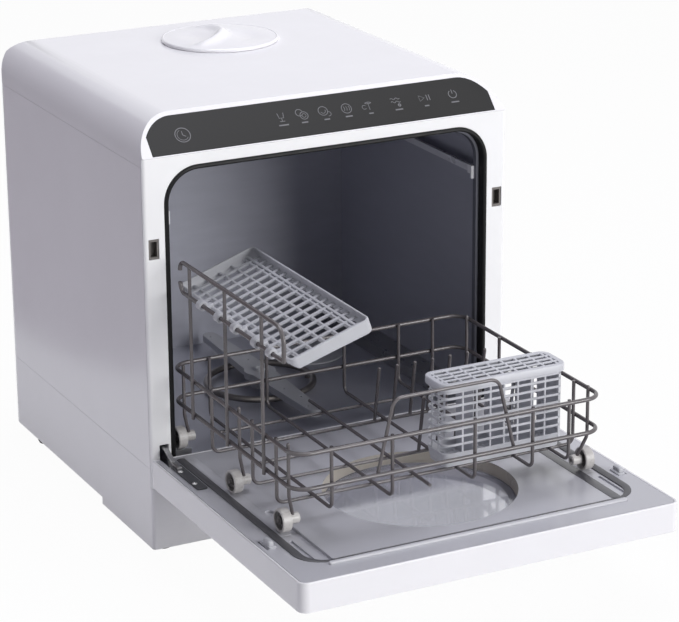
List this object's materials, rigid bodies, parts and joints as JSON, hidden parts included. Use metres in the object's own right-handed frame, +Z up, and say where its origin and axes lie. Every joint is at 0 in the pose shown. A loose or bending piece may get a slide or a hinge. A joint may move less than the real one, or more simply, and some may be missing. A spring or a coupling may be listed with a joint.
{
  "type": "countertop dishwasher",
  "caption": "Countertop dishwasher with a drop-down door, a roll-out wire rack, a tilting cup shelf, a cutlery basket, spray arms and a top water filler.",
  "frame": {"origin": "on the table, under the middle of the footprint with the door open flat", "axes": "+X to the right across the front, +Y from the open door's free edge towards the back panel, +Z up"},
  "size_m": [0.42, 0.77, 0.4823],
  "materials": {
    "white_gloss": "gloss",
    "grey_plastic": "satin",
    "dark_plastic": "matte",
    "tub_steel": "satin",
    "steel": "brushed",
    "panel_glass": "gloss",
    "board": "matte",
    "rubber_black": "matte",
    "gasket_grey": "matte",
    "coated_wire": "satin",
    "window_glass": "clear",
    "tank_plastic": "translucent"
  },
  "bodies": {
    "cabinet": {"top_cover": "white_gloss", "left_side_panel": "white_gloss", "right_side_panel": "white_gloss", "back_panel": "white_gloss", "base_skirt": "white_gloss", "base_pan": "grey_plastic", "front_frame": "white_gloss", "control_glass": "panel_glass", "control_board": "board", "tub": "tub_steel", "door_seal": "rubber_black", "upper_rails": "tub_steel", "rail_end_clips": "white_gloss", "lower_rails": "tub_steel", "latch_catches": "grey_plastic", "hinge_brackets": "steel", "hinge_pins": "steel", "door_springs": "steel", "feet": "rubber_black", "filler_neck": "white_gloss", "water_tank": "tank_plastic", "sump": "dark_plastic", "wash_pump": "dark_plastic", "drain_pump": "dark_plastic", "heater": "steel", "spray_spindle": "grey_plastic", "spray_riser": "grey_plastic", "inlet_valve": "grey_plastic", "drain_outlet": "grey_plastic", "cable_gland": "rubber_black", "case_screws": "steel", "fan_housing": "dark_plastic"},
    "door": {"door_outer_panel": "white_gloss", "door_liner": "grey_plastic", "window_glass": "window_glass", "window_ring": "white_gloss", "door_gasket": "gasket_grey", "hinge_arms": "steel", "hinge_screws": "steel", "latch_hooks": "grey_plastic"},
    "rack": {"rack_rims": "coated_wire", "rack_floor_wires": "coated_wire", "rack_uprights": "coated_wire", "side_frame": "coated_wire", "front_loop": "coated_wire", "plate_tines": "coated_wire", "wheel_clips": "grey_plastic"},
    "wheel_front_left": {"wheel_front_left": "grey_plastic"},
    "wheel_front_right": {"wheel_front_right": "grey_plastic"},
    "wheel_mid_left": {"wheel_mid_left": "grey_plastic"},
    "wheel_mid_right": {"wheel_mid_right": "grey_plastic"},
    "wheel_rear_left": {"wheel_rear_left": "grey_plastic"},
    "wheel_rear_right": {"wheel_rear_right": "grey_plastic"},
    "cup_shelf": {"cup_shelf": "grey_plastic"},
    "cutlery_basket": {"cutlery_basket": "grey_plastic"},
    "lower_spray_arm": {"lower_spray_arm": "grey_plastic"},
    "upper_spray_arm": {"upper_spray_arm": "grey_plastic"},
    "filter_cup": {"filter_cup": "grey_plastic"},
    "filler_cap": {"filler_cap": "white_gloss"},
    "fan_rotor": {"fan_rotor": "dark_plastic"}
  },
  "joints": [
    {"name": "door_hinge", "type": "hinge", "parent": "cabinet", "child": "door", "pos_m": [0, -0.051, 0.098], "axis": [-1, 0, 0], "range_deg": [0, 0.15]},
    {"name": "rack_slide", "type": "slide", "parent": "cabinet", "child": "rack", "axis": [0, 1, 0], "range_m": [0, 0.28]},
    {"name": "wheel_front_left_roll", "type": "hinge", "parent": "rack", "child": "wheel_front_left", "pos_m": [-0.171, -0.267, 0.1247], "axis": [1, 0, 0], "continuous": true},
    {"name": "wheel_front_right_roll", "type": "hinge", "parent": "rack", "child": "wheel_front_right", "pos_m": [0.171, -0.267, 0.1247], "axis": [1, 0, 0], "continuous": true},
    {"name": "wheel_mid_left_roll", "type": "hinge", "parent": "rack", "child": "wheel_mid_left", "pos_m": [-0.171, -0.156, 0.1247], "axis": [1, 0, 0], "continuous": true},
    {"name": "wheel_mid_right_roll", "type": "hinge", "parent": "rack", "child": "wheel_mid_right", "pos_m": [0.171, -0.156, 0.1247], "axis": [1, 0, 0], "continuous": true},
    {"name": "wheel_rear_left_roll", "type": "hinge", "parent": "rack", "child": "wheel_rear_left", "pos_m": [-0.171, -0.02, 0.1247], "axis": [1, 0, 0], "continuous": true},
    {"name": "wheel_rear_right_roll", "type": "hinge", "parent": "rack", "child": "wheel_rear_right", "pos_m": [0.171, -0.02, 0.1247], "axis": [1, 0, 0], "continuous": true},
    {"name": "cup_shelf_fold", "type": "hinge", "parent": "rack", "child": "cup_shelf", "pos_m": [-0.1759, -0.162, 0.2935], "axis": [0, -1, 0], "range_deg": [0, 62]},
    {"name": "cutlery_basket_lift", "type": "slide", "parent": "rack", "child": "cutlery_basket", "axis": [0, 0, 1], "range_m": [0, 0.08]},
    {"name": "lower_arm_spin", "type": "hinge", "parent": "cabinet", "child": "lower_spray_arm", "pos_m": [0, 0.145, 0.113], "axis": [0, 0, 1], "continuous": true},
    {"name": "upper_arm_spin", "type": "hinge", "parent": "cabinet", "child": "upper_spray_arm", "pos_m": [0, 0.137, 0.399], "axis": [0, 0, 1], "continuous": true},
    {"name": "filter_turn", "type": "hinge", "parent": "cabinet", "child": "filter_cup", "pos_m": [0.095, 0.217, 0.098], "axis": [0, 0, 1], "range_deg": [0, 60]},
    {"name": "filler_cap_lift", "type": "slide", "parent": "cabinet", "child": "filler_cap", "axis": [0, 0, 1], "range_m": [0, 0.06]},
    {"name": "fan_spin", "type": "hinge", "parent": "cabinet", "child": "fan_rotor", "pos_m": [-0.11, 0.365, 0.3], "axis": [0, 1, 0], "continuous": true}
  ],
  "couplings": [
    {"joint": "wheel_front_left_roll", "follows": "rack_slide", "rad_per_m": -83.333},
    {"joint": "wheel_front_right_roll", "follows": "rack_slide", "rad_per_m": -83.333},
    {"joint": "wheel_mid_left_roll", "follows": "rack_slide", "rad_per_m": -83.333},
    {"joint": "wheel_mid_right_roll", "follows": "rack_slide", "rad_per_m": -83.333},
    {"joint": "wheel_rear_left_roll", "follows": "rack_slide", "rad_per_m": -83.333},
    {"joint": "wheel_rear_right_roll", "follows": "rack_slide", "rad_per_m": -83.333}
  ]
}
